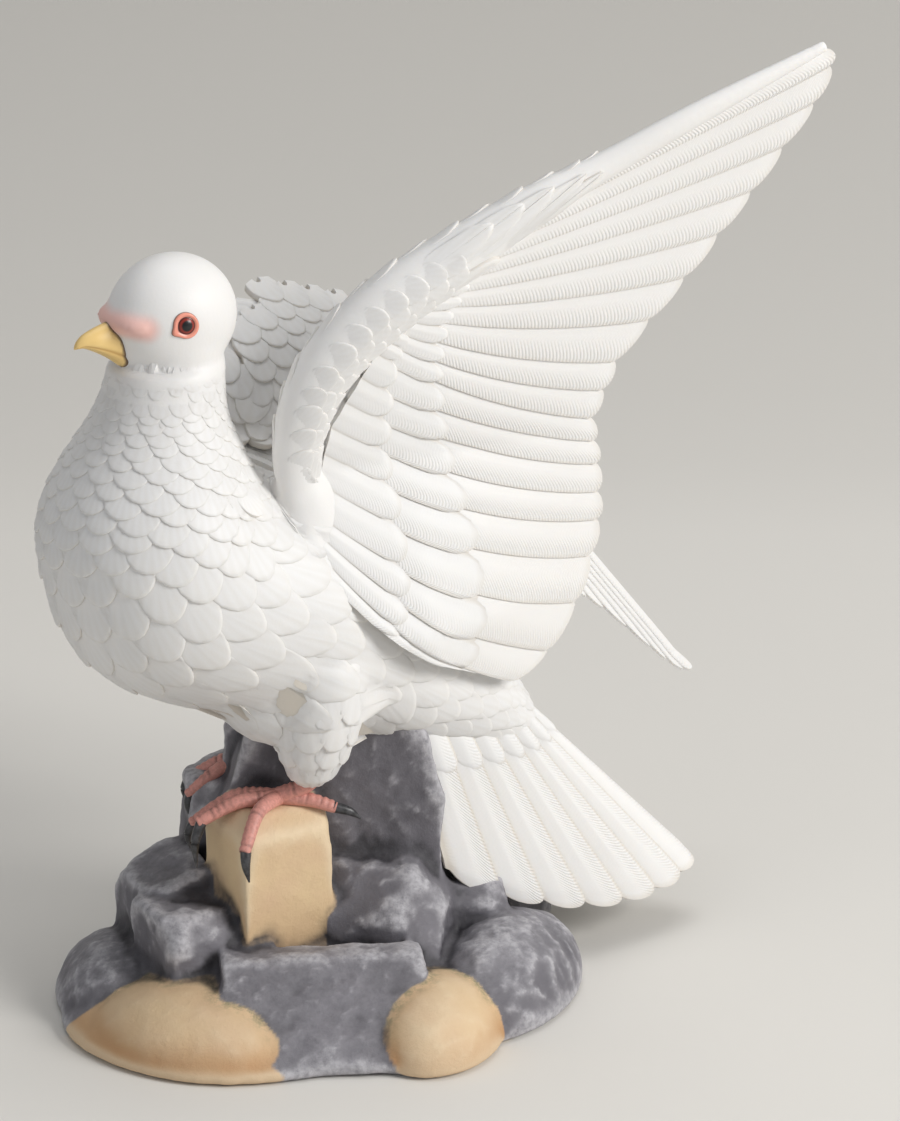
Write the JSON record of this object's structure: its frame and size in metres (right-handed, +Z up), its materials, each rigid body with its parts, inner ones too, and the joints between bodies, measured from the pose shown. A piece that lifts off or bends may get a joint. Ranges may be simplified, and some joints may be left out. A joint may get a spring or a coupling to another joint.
{
  "type": "dove statue",
  "caption": "Life-size dove figurine with one wing raised, the other lowered and the tail fanned, standing on a rock plinth.",
  "frame": {"origin": "a point near the middle of the rock base's flat underside, on the surface it stands on", "axes": "+Z up; +X towards the viewer's right, the side of the tail; +Y away from the viewer"},
  "size_m": [0.2635, 0.1937, 0.3257],
  "materials": {
    "white_bisque": "matt unglazed porcelain",
    "painted_rock": "matt painted porcelain"
  },
  "bodies": {
    "root": {"dove": "white_bisque", "rock_base": "painted_rock"}
  },
  "joints": []
}
